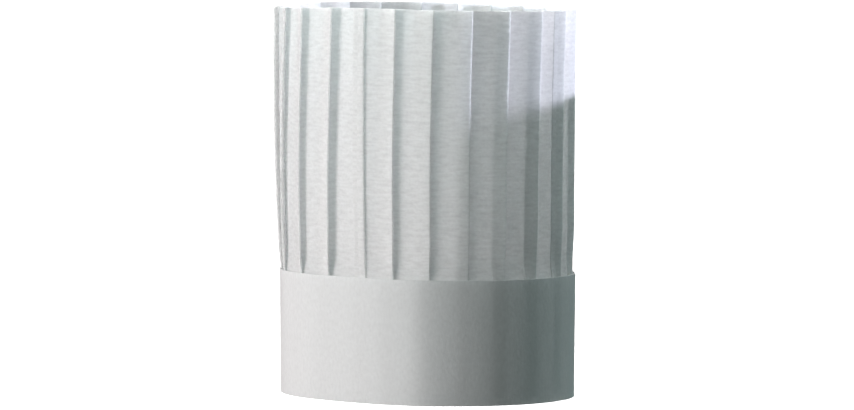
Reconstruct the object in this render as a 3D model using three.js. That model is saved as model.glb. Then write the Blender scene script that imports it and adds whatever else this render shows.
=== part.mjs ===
// A tall pleated chef's hat of stiff white non-woven paper, in millimetres, +Z up, worn side down.
// It is made of two strips. The crown is one long strip laid in 24 knife pleats and closed to a tube, open at
// the top. The headband is a plain strip wrapped once round the foot of the pleats and glued where it laps.
// The front faces -Y. The origin is the middle of the hat on the surface that its bottom rim stands on.
import * as THREE from "three";

// Sizes of the whole hat
const HAT_HEIGHT = 251.2; // bottom rim to the highest point of the top rim
const WALL = 1.0; // thickness of both strips

// The hat is folded flat before it is worn. It keeps a soft upright crease at the front and one at the back, with
// a flatter side to the left of each. A row swells the plan by height at one angle from the front towards +X, and
// by less and less on both sides of it over the spread, in degrees. A negative height flattens the plan.
const SWELLS = [
  { at: -38, spread: 24, height: -5 },
  { at: -2, spread: 9, height: 1 },
  { at: 142, spread: 24, height: -4 },
  { at: 178, spread: 9, height: 1 },
];

// Headband
const BAND_HEIGHT = 80;
const BAND_FOOT = { width: 190.0, shift: 4.4 }; // outer width, and how far its middle lies to +X
const BAND_TOP = { width: 191.6, shift: 3.3 };
const LAP_END = 86; // degrees from the front where the outer end of the strip is glued down
const LAP = 15; // degrees that the outer end lies over the inner one
const LAP_RISE = 5; // degrees over which the strip climbs on to its own inner end
const LAP_GAP = 0.3; // room between the two ends
const BAND_STEP = 5; // degrees between the facets

// Crown: one row for each pleat, in order round the hat. rim and band are the angles of its outer fold at the
// top rim and at the headband, in degrees from the front towards +X. tuck is how much of the strip is folded
// under it, and rise is how far it stands above the level of the top rim, both in millimetres.
const PLEATS = [
  { rim: -68.7, band: -77.5, tuck: 9, rise: -0.3 },
  { rim: -56, band: -60.6, tuck: 10, rise: 0.2 },
  { rim: -39.8, band: -44.1, tuck: 10, rise: 1.0 },
  { rim: -24.3, band: -25.2, tuck: 9, rise: 1.4 },
  { rim: -11.3, band: -13.2, tuck: 9, rise: 1.4 },
  { rim: 3.1, band: 1.2, tuck: 10, rise: 1.0 },
  { rim: 17.8, band: 16.2, tuck: 7.5, rise: 1.1 },
  { rim: 33.4, band: 31.5, tuck: 9, rise: 1.1 },
  { rim: 49.4, band: 47.4, tuck: 10, rise: 0.7 },
  { rim: 66, band: 65, tuck: 11, rise: 0.6 },
  { rim: 82, band: 80.5, tuck: 10, rise: 0.7 },
  { rim: 97, band: 95.5, tuck: 10, rise: 0.3 },
  { rim: 112, band: 110.5, tuck: 11, rise: -0.4 },
  { rim: 128, band: 126, tuck: 10, rise: 0 },
  { rim: 141, band: 139.5, tuck: 9, rise: 0.8 },
  { rim: 158, band: 155.5, tuck: 10, rise: 0.8 },
  { rim: 173, band: 170.5, tuck: 10, rise: 1.0 },
  { rim: 187, band: 184.5, tuck: 9, rise: 1.2 },
  { rim: 204, band: 200.5, tuck: 10, rise: 1.1 },
  { rim: 218, band: 214.5, tuck: 10, rise: 1.1 },
  { rim: 232, band: 229, tuck: 9, rise: 0.7 },
  { rim: 247, band: 243.5, tuck: 10, rise: 0.1 },
  { rim: 261, band: 257, tuck: 10, rise: -0.4 },
  { rim: 276, band: 271, tuck: 10, rise: -0.6 },
];
const RIM_LEVEL = HAT_HEIGHT - Math.max(...PLEATS.map(({ rise }) => rise));

// Crown: its plan at each height. width is measured over the pleats' outer faces, shift is how far the
// section's middle lies to +X, and gap is the room between the layers of a pleat, which stand open at the top.
const SECTIONS = [
  { z: 4, width: 187.1, shift: 4.35, gap: 0.3 },
  { z: 79, width: 188.4, shift: 3.3, gap: 0.3 },
  { z: 89, width: 190.9, shift: 2.7, gap: 0.6 },
  { z: 106, width: 193.0, shift: 2.3, gap: 0.8 },
  { z: 138, width: 194.5, shift: 1.15, gap: 0.85 },
  { z: 190, width: 196.0, shift: 0.1, gap: 0.9 },
  { z: RIM_LEVEL, width: 197.3, shift: -0.4, gap: 1.0 },
];

const { degToRad, radToDeg, lerp, smoothstep, clamp, euclideanModulo } = THREE.MathUtils;

/** How far the plan stands outside its circle at an angle, as a sum of bell curves. */
function swell(angle) {
  return SWELLS.reduce((sum, { at, spread, height }) => {
    const away = euclideanModulo(angle - at + 180, 360) - 180;
    return sum + height * Math.exp(-((away / spread) ** 2));
  }, 0);
}

/** The point at an angle (degrees from the front towards +X), radius and height, with the plan's shift added. */
function place(angle, radius, z, shift) {
  const a = degToRad(angle);
  const reach = radius + swell(angle);
  return new THREE.Vector3(reach * Math.sin(a) + shift, -reach * Math.cos(a), z);
}

/**
 * A closed wall from rows of point pairs, lowest row first. Each pair is the outer and the inner point of the
 * wall, and each row runs towards +X at the front. A ring joins its last pair to its first; a strip has ends.
 */
function wall(rows, isRing) {
  const count = rows[0].length;
  const positions = rows.flat().flatMap(({ outer, inner }) => [...outer.toArray(), ...inner.toArray()]);
  const index = [];
  const quad = (a, b, c, d) => index.push(a, b, c, a, c, d);
  const outer = (row, i) => 2 * (row * count + (i % count));
  const inner = (row, i) => outer(row, i) + 1;
  const top = rows.length - 1;
  for (let i = 0; i < (isRing ? count : count - 1); i++) {
    for (let row = 0; row < top; row++) {
      quad(outer(row, i), outer(row, i + 1), outer(row + 1, i + 1), outer(row + 1, i));
      quad(inner(row, i + 1), inner(row, i), inner(row + 1, i), inner(row + 1, i + 1));
    }
    quad(outer(top, i), outer(top, i + 1), inner(top, i + 1), inner(top, i));
    quad(outer(0, i + 1), outer(0, i), inner(0, i), inner(0, i + 1));
  }
  if (!isRing) {
    const last = count - 1;
    for (let row = 0; row < top; row++) {
      quad(outer(row, 0), outer(row + 1, 0), inner(row + 1, 0), inner(row, 0));
      quad(outer(row + 1, last), outer(row, last), inner(row, last), inner(row + 1, last));
    }
  }
  const geometry = new THREE.BufferGeometry();
  geometry.setAttribute("position", new THREE.Float32BufferAttribute(positions, 3));
  geometry.setIndex(index);
  geometry.computeVertexNormals();
  return geometry;
}

/**
 * The strip's way through one pleat in plan. It comes out from under the fold before it, rises to the outer
 * layer, turns back at the outer fold, runs under itself as the middle layer, turns again and leaves as the
 * inner layer. level is 0, 1 or 2 for the inner, middle and outer layer. out and along say which way the
 * strip's outer face looks there: away from the axis, or round the hat.
 */
function pleatPath(start, edge, tuck, fold) {
  const free = edge - tuck - start;
  return [
    { angle: start, level: 0, out: 1, along: 0 },
    { angle: start + 0.3 * free, level: 0.6, out: 1, along: 0 },
    { angle: start + 0.65 * free, level: 1.45, out: 1, along: 0 },
    { angle: edge - tuck, level: 2, out: 1, along: 0 },
    { angle: edge - fold, level: 2, out: 1, along: 0 },
    { angle: edge, level: 1.5, out: 0, along: 1 },
    { angle: edge - fold, level: 1, out: -1, along: 0 },
    { angle: edge - tuck + fold, level: 1, out: -1, along: 0 },
    { angle: edge - tuck, level: 0.5, out: 0, along: 1 },
    { angle: edge - tuck + fold, level: 0, out: 1, along: 0 },
  ];
}

/** One section of the crown: the outer and inner points of the wall all round, at the section's height. */
function crownRow({ z, width, shift, gap }) {
  const radius = width / 2;
  const spacing = WALL + gap;
  const up = clamp((z - BAND_HEIGHT) / (RIM_LEVEL - BAND_HEIGHT), 0, 1);
  const edgeOf = (pleat) => lerp(pleat.band, pleat.rim, up);
  const degrees = (length) => radToDeg(length / radius);
  return PLEATS.flatMap((pleat, i) => {
    const before = PLEATS.at(i - 1);
    const start = edgeOf(before) - (i === 0 ? 360 : 0);
    const path = pleatPath(start, edgeOf(pleat), degrees(pleat.tuck), degrees(spacing / 2));
    return path.map(({ angle, level, out, along }, step) => {
      const rise = z < RIM_LEVEL ? 0 : lerp(before.rise, pleat.rise, clamp(step / 3, 0, 1));
      const middle = radius - WALL / 2 - (2 - level) * spacing;
      const side = (sign) =>
        place(angle + degrees((sign * along * WALL) / 2), middle + (sign * out * WALL) / 2, z + rise, shift);
      return { outer: side(1), inner: side(-1) };
    });
  });
}

/** The headband's strip at its foot or its top: it starts under its own outer end and goes once round. */
function bandRow({ width, shift }, z) {
  const first = LAP_END - LAP;
  const last = LAP_END + 360;
  const steps = Math.round((last - first) / BAND_STEP);
  return Array.from({ length: steps + 1 }, (_, i) => {
    const angle = lerp(first, last, i / steps);
    const climbFrom = last - LAP - LAP_RISE;
    const radius = width / 2 + (WALL + LAP_GAP) * smoothstep(angle, climbFrom, climbFrom + LAP_RISE);
    return { outer: place(angle, radius, z, shift), inner: place(angle, radius - WALL, z, shift) };
  });
}

/** A named piece of matt non-woven paper. */
function piece(name, geometry, color) {
  const mesh = new THREE.Mesh(geometry, new THREE.MeshStandardMaterial({ color, roughness: 0.9, metalness: 0 }));
  mesh.name = name;
  return mesh;
}

const hat = new THREE.Group();
hat.add(
  piece("crown", wall(SECTIONS.map(crownRow), true), 0xf3f4f4),
  piece("headband", wall([bandRow(BAND_FOOT, 0), bandRow(BAND_TOP, BAND_HEIGHT)], false), 0xecedec),
);

export default hat;
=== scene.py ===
import bpy
import numpy as np
from mathutils import Matrix, Vector


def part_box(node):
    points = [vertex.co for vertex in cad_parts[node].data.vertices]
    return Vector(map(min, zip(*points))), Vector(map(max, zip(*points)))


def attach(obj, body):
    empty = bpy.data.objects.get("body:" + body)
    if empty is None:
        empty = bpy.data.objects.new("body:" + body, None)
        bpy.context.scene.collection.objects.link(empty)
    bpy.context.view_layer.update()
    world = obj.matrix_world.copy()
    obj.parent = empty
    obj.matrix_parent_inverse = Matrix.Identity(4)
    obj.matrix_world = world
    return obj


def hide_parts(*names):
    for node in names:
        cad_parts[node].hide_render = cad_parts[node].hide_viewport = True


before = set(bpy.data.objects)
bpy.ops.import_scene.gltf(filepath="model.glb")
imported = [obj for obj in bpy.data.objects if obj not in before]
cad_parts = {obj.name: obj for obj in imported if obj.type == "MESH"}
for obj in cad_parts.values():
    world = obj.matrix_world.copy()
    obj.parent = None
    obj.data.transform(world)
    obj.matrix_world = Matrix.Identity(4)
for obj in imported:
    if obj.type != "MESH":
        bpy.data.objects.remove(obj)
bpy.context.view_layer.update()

# ---------------------------------------------------------------- the pleated crown
# One long strip of thin white non-woven paper, laid in 24 knife pleats that all turn the same way and closed
# to a tube, open at the top. Its foot stands inside the headband, a few millimetres above the band's edge.
# The pleats are pressed at the creases only, so each outer fold stands a few millimetres off the next panel.

CROWN_LOW, CROWN_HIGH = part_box("crown")
BAND_LOW, BAND_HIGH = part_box("headband")
SHEET = 0.0004
CREASE = 0.00045
FOLD_WANDER = 0.0012
CROWN_WANDER = 0.0002
NECK_LOW = 0.074
NECK_HIGH = 0.100

# One row for each pleat, in order round the hat: the angle of its outer fold at the top rim and at the
# headband in degrees from the front towards +X, the strip folded under it and its rise above the rim's level
# in millimetres, how wide it stands open, as a share of the section's step, and how much the panel that ends
# in it bows outwards, as a share of the same.
PLEAT_COLUMNS = ("rim", "band", "tuck", "rise", "open", "bow")
PLEAT_ROWS = [
    (-68.7, -77.5, 9, -0.3, 1.3, 0),
    (-56, -60.6, 10, 0.2, 1.55, 0),
    (-39.8, -44.1, 10, 1.0, 1.9, 0),
    (-24.3, -25.2, 9, 1.4, 0.5, -0.25),
    (-11.3, -13.2, 9, 1.4, 1.35, 0),
    (3.1, 1.2, 10, 1.0, 1.35, 0),
    (17.8, 16.2, 7.5, 1.1, 0.8, 1.0),
    (33.4, 31.5, 9, 1.1, 0.9, -0.2),
    (49.4, 47.4, 10, 0.7, 1.0, -0.7),
    (66, 65, 11, 0.6, 1.0, -1.0),
    (82, 80.5, 10, 0.7, 0.9, -0.5),
    (97, 95.5, 10, 0.3, 1.0, 0),
    (112, 110.5, 11, -0.4, 0.8, 0),
    (128, 126, 10, 0, 1.1, 0),
    (141, 139.5, 9, 0.8, 0.9, 0),
    (158, 155.5, 10, 0.8, 1.0, 0),
    (173, 170.5, 10, 1.0, 0.75, 0),
    (187, 184.5, 9, 1.2, 1.05, 0),
    (204, 200.5, 10, 1.1, 0.9, 0),
    (218, 214.5, 10, 1.1, 1.0, 0),
    (232, 229, 9, 0.7, 0.8, 0),
    (247, 243.5, 10, 0.1, 1.05, 0),
    (261, 257, 10, -0.4, 0.9, 0),
    (276, 271, 10, -0.6, 1.0, 0),
]
PLEATS = {name: column[:, None] for name, column in zip(PLEAT_COLUMNS, np.array(PLEAT_ROWS, float).T)}
RIM_LEVEL = CROWN_HIGH[2] - PLEATS["rise"].max() / 1000

# Heights in metres above the bottom rim, and at each the crown's width over the folds, how far its middle
# lies to +X, and how far an outer fold stands off the panel under it.
CROWN_SECTIONS = {
    "z": np.array([0.004, 0.079, 0.089, 0.106, 0.138, 0.190, RIM_LEVEL]),
    "width": np.array([0.1880, 0.1899, 0.1911, 0.1930, 0.1945, 0.1960, 0.1973]),
    "shift": np.array([0.00435, 0.0033, 0.0027, 0.0023, 0.00115, 0.0001, -0.0004]),
    "step": np.array([0.0010, 0.0014, 0.0030, 0.0034, 0.0036, 0.0038, 0.0040]),
}

# The hat is folded flat before it is worn. It keeps a soft upright crease at the front and one at the back,
# with a flatter side to the left of each. Columns: angle from the front and spread to both sides in degrees,
# and height outwards in millimetres.
SWELLS = np.array([(-38, 24, -5), (-2, 9, 1), (142, 24, -4), (178, 9, 1)], float)


def swell(angle):
    """How far the plan stands outside its circle in metres: the sum of the rows' bell curves,
    height * exp(-(away / spread)^2), where away is the shortest way round to the row's own angle."""
    at, spread, height = SWELLS.T
    away = np.remainder(np.degrees(angle)[..., None] - at + 180, 360) - 180
    return (height * np.exp(-((away / spread) ** 2))).sum(-1) / 1000


def through(table, key, z):
    """A smooth curve through a table's values: between two heights it is the cubic whose slopes at its ends
    are the mean slopes of the table there."""
    heights, values = table["z"], table[key]
    slopes = np.gradient(values, heights)
    k = np.clip(np.searchsorted(heights, z) - 1, 0, len(heights) - 2)
    span = heights[k + 1] - heights[k]
    t = (z - heights[k]) / span
    return (
        (2 * t**3 - 3 * t**2 + 1) * values[k]
        + (t**3 - 2 * t**2 + t) * span * slopes[k]
        + (3 * t**2 - 2 * t**3) * values[k + 1]
        + (t**3 - t**2) * span * slopes[k + 1]
    )


def pleat_path(panel=15, turn=5, under=5, inner=4):
    """The strip's way through one pleat in plan, as shares of that pleat's own sizes, one value for each
    point. It comes out from under the fold before it and climbs to the outer layer with the square of its
    way, which keeps the panel nearly flat. It turns over a half circle at the outer fold, slopes down under
    itself as the middle layer, turns over a second half circle and leaves as the inner layer. The angle is
    start, edge, tuck and crease times their shares. The height off the inner layer is step times climb and
    crease times lift, and on a panel also step times its own bow times q * (1 - q). Each flat part has
    points close to the folds at its ends, so that the shading turns there and not across the panel."""
    q = np.append(np.linspace(0, 0.98, panel - 1), 1)
    half_turn = np.linspace(0, np.pi, turn + 1)[1:]
    down = np.append(np.linspace(0.03, 0.97, under), 1)
    back = np.linspace(0.03, 0.97, inner)
    stages = [
        # start, edge, tuck, crease, climb, lift, bow
        (1 - q, q, 0 * q, -q, q * q, 0 * q, q * (1 - q)),
        (0, 1, 0, np.sin(half_turn) - 1, 1, np.cos(half_turn) - 1, 0),
        (0, 1, -down, 2 * down - 1, 1 - down, 4 * down - 2, 0),
        (0, 1, -1, 1 - np.sin(half_turn), 0, 1 + np.cos(half_turn), 0),
        (0, 1, back - 1, 1 - back, 0, 0 * back, 0),
    ]
    points = np.concatenate([np.stack(np.broadcast_arrays(*stage)) for stage in stages], axis=1)
    return dict(zip(("start", "edge", "tuck", "crease", "climb", "lift", "bow"), points))


def waves(seed, angle, z, size, count=7, usual_sum=2.6):
    """Slow hand-made unevenness of about the given size: a sum of sines over the angle round the hat and the
    height, divided by the usual sum, about the square root of their count. Each makes one to eight whole
    turns round the hat, so that it closes, and up to 28 radians to the metre of height."""
    rng = np.random.default_rng(seed)
    turns = rng.integers(1, 9, count)
    rises = rng.uniform(-28, 28, count)
    phases = rng.uniform(0, 2 * np.pi, count)
    return size * sum(np.sin(t * angle + r * z + p) for t, r, p in zip(turns, rises, phases)) / usual_sum


def crown_strip(heights):
    """The middle of the sheet, a row for each height and in it a point for each pleat and step of its path.
    A point's angle and its height off the inner layer follow the path. Its radius is the section's less the
    step plus that height, and its z runs up to the rim, which rises from pleat to pleat."""
    z = heights[:, None, None]
    path = pleat_path()
    up = np.clip((z - BAND_HIGH[2]) / (RIM_LEVEL - BAND_HIGH[2]), 0, 1)
    fold = np.radians(PLEATS["band"] + up * (PLEATS["rim"] - PLEATS["band"]))
    fold = fold + waves(3, fold, z, FOLD_WANDER) * np.sin(np.pi * up)
    before = np.roll(fold, 1, axis=1)
    before[:, 0] -= 2 * np.pi
    radius = through(CROWN_SECTIONS, "width", z) / 2 - SHEET / 2
    tuck = PLEATS["tuck"] / 1000 / radius
    crease = CREASE / radius
    angle = path["start"] * before + path["edge"] * fold + path["tuck"] * tuck + path["crease"] * crease
    open_shares = path["start"] * np.roll(PLEATS["open"], 1, axis=0) + path["edge"] * PLEATS["open"]
    step = through(CROWN_SECTIONS, "step", z) * open_shares
    depth = (1 - path["climb"] - path["bow"] * PLEATS["bow"]) * step - path["lift"] * CREASE
    reach = radius - depth + swell(angle) + waves(5, angle, z, CROWN_WANDER) * up
    rise = PLEATS["rise"] / 1000
    rise = rise + (np.roll(rise, 1, axis=0) - rise) * np.clip(path["start"], 0, 1)
    shift = through(CROWN_SECTIONS, "shift", z)
    place = (reach * np.sin(angle) + shift, -reach * np.cos(angle), z + rise * up**3)
    return np.stack(np.broadcast_arrays(*place), axis=-1).reshape(len(heights), -1, 3)


def paper_wall(name, middle, thickness, ring):
    """A closed wall of even thickness round a grid of points, rows upwards and columns towards +X at the
    front: each face lies half the thickness from the middle along the grid's normal, which is the cross
    product of its two directions. A ring joins its last column to its first. The UV map unrolls the strip in
    metres. The faces are shaded smooth and the cut edges of the strip sharp."""
    rows, columns = middle.shape[:2]
    along = np.roll(middle, -1, 1) - np.roll(middle, 1, 1) if ring else np.gradient(middle, axis=1)
    normal = np.cross(along, np.gradient(middle, axis=0))
    normal /= np.linalg.norm(normal, axis=2, keepdims=True)
    points = np.concatenate([middle + side * thickness / 2 * normal for side in (1, -1)]).reshape(-1, 3)
    closed = np.concatenate([middle, middle[:, :1]], axis=1) if ring else middle
    u = np.concatenate([[0], np.cumsum(np.linalg.norm(np.diff(closed[rows // 2], axis=0), axis=1))])
    v = middle[..., 2].mean(1)

    # Every corner is written as row, column and side, 0 for the outer face and 1 for the inner one.
    r, c = np.mgrid[0 : rows - 1, 0 : len(u) - 1].reshape(2, -1)
    k = np.arange(len(u) - 1)
    top, foot = np.full_like(k, rows - 1), np.zeros_like(k)
    walls = [
        ((r, c, 0), (r, c + 1, 0), (r + 1, c + 1, 0), (r + 1, c, 0)),
        ((r, c + 1, 1), (r, c, 1), (r + 1, c, 1), (r + 1, c + 1, 1)),
    ]
    edges = [
        ((top, k, 0), (top, k + 1, 0), (top, k + 1, 1), (top, k, 1)),
        ((foot, k + 1, 0), (foot, k, 0), (foot, k, 1), (foot, k + 1, 1)),
    ]
    if not ring:
        j = np.arange(rows - 1)
        first, last = np.zeros_like(j), np.full_like(j, columns - 1)
        edges += [
            ((j, first, 0), (j + 1, first, 0), (j + 1, first, 1), (j, first, 1)),
            ((j + 1, last, 0), (j, last, 0), (j, last, 1), (j + 1, last, 1)),
        ]
    faces = np.concatenate(
        [
            np.stack([(side * rows + row) * columns + column % columns for row, column, side in quad], axis=1)
            for quad in walls + edges
        ]
    )
    corners = np.concatenate(
        [
            np.stack([np.stack([u[column], v[row]], axis=1) for row, column, side in quad], axis=1)
            for quad in walls + edges
        ]
    )
    mesh = bpy.data.meshes.new(name)
    mesh.from_pydata(points, [], faces)
    mesh.uv_layers.new(name="strip").data.foreach_set("uv", corners.ravel())
    mesh.polygons.foreach_set("use_smooth", np.arange(len(faces)) < 2 * len(r))
    ends = np.empty(2 * len(mesh.edges), int)
    mesh.edges.foreach_get("vertices", ends)
    side, place = np.divmod(ends.reshape(-1, 2), rows * columns)
    row, column = np.divmod(place, columns)
    cut = (row == 0).all(1) | (row == rows - 1).all(1)
    if not ring:
        cut |= (column == 0).all(1) | (column == columns - 1).all(1)
    mesh.edges.foreach_set("use_edge_sharp", cut & (side[:, 0] == side[:, 1]))
    mesh.update()
    piece = bpy.data.objects.new(name, mesh)
    bpy.context.collection.objects.link(piece)
    return piece


GRAINS_PER_METRE = 500.0
CLOUDS_PER_METRE = 60.0
GRAIN_SHARE = 0.35


def paper(name, colour, thin, streak, contrast, relief):
    """Matt non-woven paper, lit from both sides: a dull face mixed with light let through from behind. thin
    is the share let through. The fibres lie in streaks whose length and height in metres are given, with a
    finer grain. Where they lie thin, the sheet throws less light back and lets more through, by the two
    shares of contrast. relief is how deep the streaks and the grain are, in metres."""
    material = bpy.data.materials.new(name)
    material.use_nodes = True
    tree = material.node_tree
    tree.nodes.clear()

    def node(kind, **values):
        made = tree.nodes.new(kind)
        for key, value in values.items():
            made.inputs[key].default_value = value
        return made

    def link(source, target):
        tree.links.new(source, target)

    def uneven(source, share):
        """The paper's colour times a factor that runs from 1 - share to 1 + share over the noise's usual
        range, 0.3 to 0.7."""
        factor = node("ShaderNodeMapRange")
        limits = {"From Min": 0.3, "From Max": 0.7, "To Min": 1 - share, "To Max": 1 + share}
        for key, value in limits.items():
            factor.inputs[key].default_value = value
        link(source, factor.inputs["Value"])
        scaled = tree.nodes.new("ShaderNodeVectorMath")
        scaled.operation = "SCALE"
        scaled.inputs[0].default_value = colour
        link(factor.outputs["Result"], scaled.inputs["Scale"])
        return scaled.outputs["Vector"]

    strip = tree.nodes.new("ShaderNodeUVMap")
    strip.uv_map = "strip"
    streaks_at = node("ShaderNodeMapping", Scale=(1 / streak[0], 1 / streak[1], 1))
    link(strip.outputs["UV"], streaks_at.inputs["Vector"])
    streaks = node("ShaderNodeTexNoise", Scale=1.0, Detail=2.0, Roughness=0.5)
    link(streaks_at.outputs["Vector"], streaks.inputs["Vector"])
    grain = node("ShaderNodeTexNoise", Scale=GRAINS_PER_METRE, Detail=2.0, Roughness=0.5)
    link(strip.outputs["UV"], grain.inputs["Vector"])
    cloud = node("ShaderNodeTexNoise", Scale=CLOUDS_PER_METRE, Detail=3.0, Roughness=0.55)
    link(strip.outputs["UV"], cloud.inputs["Vector"])
    fibres = tree.nodes.new("ShaderNodeMix")
    fibres.inputs["Factor"].default_value = GRAIN_SHARE
    link(streaks.outputs["Fac"], fibres.inputs["A"])
    link(grain.outputs["Fac"], fibres.inputs["B"])

    rough = node("ShaderNodeMapRange")
    rough.inputs["To Min"].default_value = 0.8
    rough.inputs["To Max"].default_value = 1.0
    link(cloud.outputs["Fac"], rough.inputs["Value"])
    raised = node("ShaderNodeBump", Strength=1.0, Distance=relief)
    link(fibres.outputs["Result"], raised.inputs["Height"])
    face = node("ShaderNodeBsdfPrincipled")
    face.inputs["Specular IOR Level"].default_value = 0.2
    link(uneven(fibres.outputs["Result"], -contrast[0]), face.inputs["Base Color"])
    link(rough.outputs["Result"], face.inputs["Roughness"])
    link(raised.outputs["Normal"], face.inputs["Normal"])
    through_it = node("ShaderNodeBsdfTranslucent")
    link(uneven(fibres.outputs["Result"], contrast[1]), through_it.inputs["Color"])
    both = tree.nodes.new("ShaderNodeMixShader")
    both.inputs[0].default_value = thin
    link(face.outputs["BSDF"], both.inputs[1])
    link(through_it.outputs["BSDF"], both.inputs[2])
    out = tree.nodes.new("ShaderNodeOutputMaterial")
    link(both.outputs["Shader"], out.inputs["Surface"])
    return material


# The rows lie closest in the neck, where the crown widens above the headband.
crown_heights = np.concatenate(
    [
        np.linspace(CROWN_LOW[2], NECK_LOW, 6, endpoint=False),
        np.linspace(NECK_LOW, NECK_HIGH, 10, endpoint=False),
        np.linspace(NECK_HIGH, RIM_LEVEL, 34),
    ]
)
crown = paper_wall("crown_sheet", crown_strip(crown_heights), SHEET, ring=True)
crown.data.materials.append(
    paper(
        "crown paper",
        (0.925, 0.93, 0.93),
        thin=0.72,
        streak=(0.008, 0.0021),
        contrast=(0.05, 0.145),
        relief=0.00015,
    )
)
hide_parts("crown")
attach(crown, "root")

# ---------------------------------------------------------------- the headband
# A plain strip of heavier, smoother non-woven paper, wrapped once round the foot of the pleats. Its outer
# end lies over its inner end at the right and is glued down there. The hat stands on its bottom edge.

BAND_SHEET = 0.0004
BAND_FOOT = {"width": 0.1900, "shift": 0.0044}
BAND_TOP = {"width": 0.1916, "shift": 0.0033}
BAND_WANDER = 0.00008
LAP_END = np.radians(86)
LAP = np.radians(15)
LAP_RISE = np.radians(5)
LAP_GAP = 0.0002


def band_strip(columns=180, rows=24):
    """The strip's middle, once round from its inner end to its outer end: the radius runs evenly from foot
    to top. Just before the lap it grows by a sheet's thickness and the gap, on the smooth step
    t * t * (3 - 2 * t), to lie over the inner end."""
    angle = np.linspace(LAP_END - LAP, LAP_END + 2 * np.pi, columns)[None, :]
    up = np.linspace(0, 1, rows)[:, None]
    t = np.clip((angle - (LAP_END + 2 * np.pi - LAP - LAP_RISE)) / LAP_RISE, 0, 1)
    climb = (BAND_SHEET + LAP_GAP) * t * t * (3 - 2 * t)
    half = (BAND_FOOT["width"] + up * (BAND_TOP["width"] - BAND_FOOT["width"])) / 2 - BAND_SHEET / 2
    reach = half + climb + swell(angle) + waves(11, angle, up * BAND_HIGH[2], BAND_WANDER)
    shift = BAND_FOOT["shift"] + up * (BAND_TOP["shift"] - BAND_FOOT["shift"])
    height = BAND_LOW[2] + up * (BAND_HIGH[2] - BAND_LOW[2]) + 0 * angle
    return np.stack([reach * np.sin(angle) + shift, -reach * np.cos(angle), height], axis=-1)


band = paper_wall("headband_strip", band_strip(), BAND_SHEET, ring=False)
band.data.materials.append(
    paper(
        "headband paper",
        (0.80, 0.815, 0.815),
        thin=0.42,
        streak=(0.0018, 0.0040),
        contrast=(0.03, 0.16),
        relief=0.0002,
    )
)
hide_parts("headband")
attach(band, "root")

# ---------------------------------------------------------------- the floor, the light and the camera
# A plain pale floor that curves up far behind the hat. Two large soft lamps stand at the left and one
# overhead, with weaker ones on the other sides. A small hard lamp at the right, a little behind and above,
# throws a bluish light on the top right of the crown, with a shadow's edge under it.


def floor_sweep(width=14.0, front=-6.0, bend=5.0, radius=3.0, wall=4.0, steps=16):
    """A floor that runs back to the bend, follows a quarter circle up and goes on as an upright wall."""
    turn = np.linspace(0, np.pi / 2, steps + 1)
    y = np.concatenate([[front], bend + radius * np.sin(turn), [bend + radius]])
    z = np.concatenate([[0], radius * (1 - np.cos(turn)), [radius + wall]])
    x = np.array([-width / 2, width / 2])
    return np.stack(np.broadcast_arrays(x[None, :], y[:, None], z[:, None]), axis=-1)


sweep = floor_sweep()
rows = len(sweep)
i = np.arange(rows - 1)
floor_mesh = bpy.data.meshes.new("floor")
floor_mesh.from_pydata(
    sweep.reshape(-1, 3), [], np.stack([2 * i, 2 * i + 1, 2 * i + 3, 2 * i + 2], axis=1)
)
floor_mesh.polygons.foreach_set("use_smooth", np.ones(rows - 1, bool))
floor = bpy.data.objects.new("floor", floor_mesh)
bpy.context.collection.objects.link(floor)
floor_paint = bpy.data.materials.new("pale floor")
floor_paint.use_nodes = True
paint = floor_paint.node_tree.nodes["Principled BSDF"]
paint.inputs["Base Color"].default_value = (0.9, 0.9, 0.9, 1)
paint.inputs["Roughness"].default_value = 0.9
paint.inputs["Emission Color"].default_value = (1, 1, 1, 1)
paint.inputs["Emission Strength"].default_value = 1.0
floor.data.materials.append(floor_paint)
floor.visible_diffuse = False
floor.visible_glossy = False
floor.visible_transmission = False
floor.visible_shadow = False


LAMP_AIM = Vector((0, 0, 0.15))


def lamp(name, bearing, elevation, distance, size, power, colour):
    """A square area lamp at a bearing in degrees from the front towards +X and an elevation, turned to face
    a point in the middle of the hat."""
    a, e = np.radians(bearing), np.radians(elevation)
    data = bpy.data.lights.new(name, "AREA")
    data.size = size
    data.energy = power
    data.color = colour
    made = bpy.data.objects.new(name, data)
    bpy.context.collection.objects.link(made)
    away = Vector((np.cos(e) * np.sin(a), -np.cos(e) * np.cos(a), np.sin(e)))
    made.location = LAMP_AIM + distance * away
    made.rotation_euler = away.to_track_quat("Z", "Y").to_euler()


LAMPS = [
    # bearing, elevation, distance, size, power, colour
    ("key", -55, 4, 3.0, 2.0, 72, (1.0, 0.944, 0.942)),
    ("second key", -75, 4, 3.0, 2.0, 56, (1.0, 0.944, 0.942)),
    ("sky", 0, 90, 3.0, 1.1, 153, (1.0, 0.94, 0.94)),
    ("left back", -120, 10, 3.0, 1.1, 6.1, (1.0, 0.94, 0.94)),
    ("right fill", 115, 10, 3.0, 1.1, 25.5, (0.78, 1.0, 1.0)),
    ("table glow", 150, -12, 3.0, 1.1, 7.5, (0.78, 1.0, 1.0)),
    ("front fill", -10, 45, 0.7, 0.3, 1.48, (0.76, 1.0, 0.96)),
    ("near right fill", 100, 45, 0.7, 0.3, 0.62, (0.76, 1.0, 0.96)),
]
for lamp_row in LAMPS:
    lamp(*lamp_row)


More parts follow.
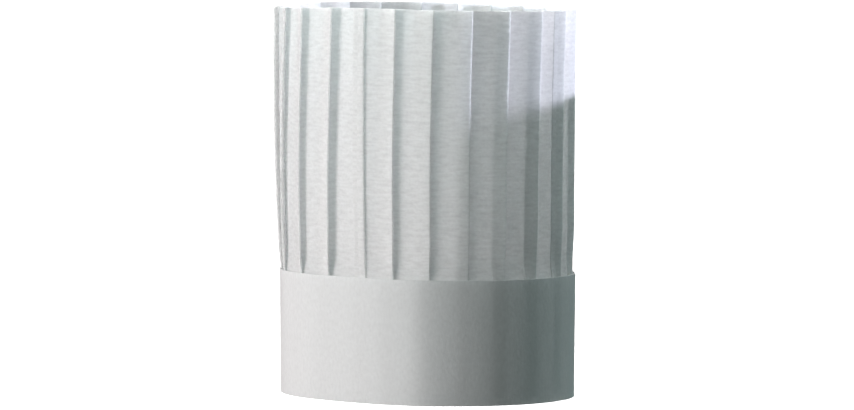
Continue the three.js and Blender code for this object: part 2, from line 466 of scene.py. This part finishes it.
# The flags before the side light, in metres as seen from the lamp. The lower flag's edge rises from the axis
# towards the front by SLOPE to the metre, and past BEND by BEND_SLOPE more. It is blurred over SOFT plus
# SOFTENING times the fourth power of side. The upper flag leaves RIM_ROOM over the near rim. Behind the axis,
# past OPENING, it lifts off by LIFT to the metre, and a screen as high as the rim stands up to SCREEN_END.
SLOPE = 0.10
BEND = 0.077
BEND_SLOPE = 0.45
SOFT = 0.004
SOFTENING = 260.0
RIM_RADIUS = 0.0985
RIM_ROOM = 0.004
RIM_SOFT = 0.005
OPENING = -0.034
LIFT = 8.0
SCREEN_END = -0.088
SCREEN_SOFT = 0.008


def flagged_lamp(name, bearing, elevation, distance, power, colour, aim):
    """A small hard lamp whose light is cut off by flags. Seen from the lamp, height is counted from the aim
    and side from the hat's axis towards its front. Light passes over the lower edge and under the upper one,
    which follows the hat's near rim: rise * cos(elevation) - depth * sin(elevation), where depth, the rim's
    distance from the axis towards the lamp, is sqrt(radius^2 - side^2). Behind the axis light passes over
    the screen and falls on the inner wall at the back."""
    a, e = np.radians(bearing), np.radians(elevation)
    data = bpy.data.lights.new(name, "POINT")
    data.energy = power
    data.color = colour
    data.shadow_soft_size = 0.001
    data.use_nodes = True
    tree = data.node_tree
    way = tree.nodes.new("ShaderNodeTexCoord").outputs["Normal"]

    def calc(operation, *values):
        made = tree.nodes.new("ShaderNodeMath")
        made.operation = operation
        for socket, value in zip(made.inputs, values):
            if isinstance(value, bpy.types.NodeSocket):
                tree.links.new(value, socket)
            else:
                socket.default_value = value
        return made.outputs[0]

    def across(axis):
        dot = tree.nodes.new("ShaderNodeVectorMath")
        dot.operation = "DOT_PRODUCT"
        tree.links.new(way, dot.inputs[0])
        dot.inputs[1].default_value = axis
        return calc("MULTIPLY", dot.outputs["Value"], distance)

    def passes(height, edge, softness):
        ramp = tree.nodes.new("ShaderNodeMapRange")
        ramp.interpolation_type = "SMOOTHSTEP"
        tree.links.new(calc("DIVIDE", calc("SUBTRACT", height, edge), softness), ramp.inputs["Value"])
        ramp.inputs["From Min"].default_value = -0.5
        ramp.inputs["From Max"].default_value = 0.5
        return ramp.outputs["Result"]

    height = across((-np.sin(e) * np.sin(a), np.sin(e) * np.cos(a), np.cos(e)))
    side = across((-np.cos(a), -np.sin(a), 0))
    front = calc("MAXIMUM", side, 0.0)
    foremost = calc("MAXIMUM", calc("SUBTRACT", side, BEND), 0.0)
    low_edge = calc("ADD", calc("MULTIPLY", front, SLOPE), calc("MULTIPLY", foremost, BEND_SLOPE))
    low_softness = calc("ADD", calc("MULTIPLY", calc("POWER", front, 4.0), SOFTENING), SOFT)
    depth = calc("SQRT", calc("MAXIMUM", calc("SUBTRACT", RIM_RADIUS**2, calc("POWER", side, 2.0)), 0.0))
    rise = RIM_LEVEL + RIM_ROOM - aim[2]
    rim = calc("SUBTRACT", rise * np.cos(e), calc("MULTIPLY", depth, np.sin(e)))
    opening = calc("MULTIPLY", calc("MAXIMUM", calc("SUBTRACT", OPENING, side), 0.0), LIFT)
    screen = calc("MULTIPLY", calc("MINIMUM", opening, rim), passes(side, SCREEN_END, SCREEN_SOFT))
    above = passes(height, calc("MAXIMUM", low_edge, screen), low_softness)
    below = calc("SUBTRACT", 1.0, passes(height, calc("ADD", rim, opening), RIM_SOFT))
    tree.links.new(calc("MULTIPLY", above, below), tree.nodes["Emission"].inputs["Strength"])
    away = Vector((np.cos(e) * np.sin(a), -np.cos(e) * np.cos(a), np.sin(e)))
    made = bpy.data.objects.new(name, data)
    made.location = Vector(aim) + distance * away
    bpy.context.collection.objects.link(made)


flagged_lamp("side light", 104, 20.1, 2.5, 420, (0.84, 0.82, 1.0), aim=(0, 0, 0.1585))

world = bpy.data.worlds.new("studio")
world.use_nodes = True
world.node_tree.nodes["Background"].inputs["Color"].default_value = (1, 1, 1, 1)
world.node_tree.nodes["Background"].inputs["Strength"].default_value = 0.0
bpy.context.scene.world = world

# The camera stands before the front, a little higher than the hat, and leans a little to its left.
CAMERA_DISTANCE = 3.95
CAMERA_HEIGHT = 0.3595
CAMERA_ROLL = np.radians(0.9)
VIEW_WIDTH = 0.5531
AIM = Vector((0.0025, 0, 0.1221))
eye = Vector((AIM.x, -CAMERA_DISTANCE, CAMERA_HEIGHT))
back = (eye - AIM).normalized()
up = Vector((-np.sin(CAMERA_ROLL), 0, np.cos(CAMERA_ROLL)))
right = up.cross(back).normalized()
camera_data = bpy.data.cameras.new("camera")
camera_data.sensor_width = 36
camera_data.lens = 36 * (eye - AIM).length / VIEW_WIDTH
camera = bpy.data.objects.new("camera", camera_data)
bpy.context.collection.objects.link(camera)
camera.matrix_world = Matrix.Translation(eye) @ Matrix((right, back.cross(right), back)).transposed().to_4x4()
bpy.context.scene.camera = camera
bpy.context.scene.view_settings.view_transform = "Standard"
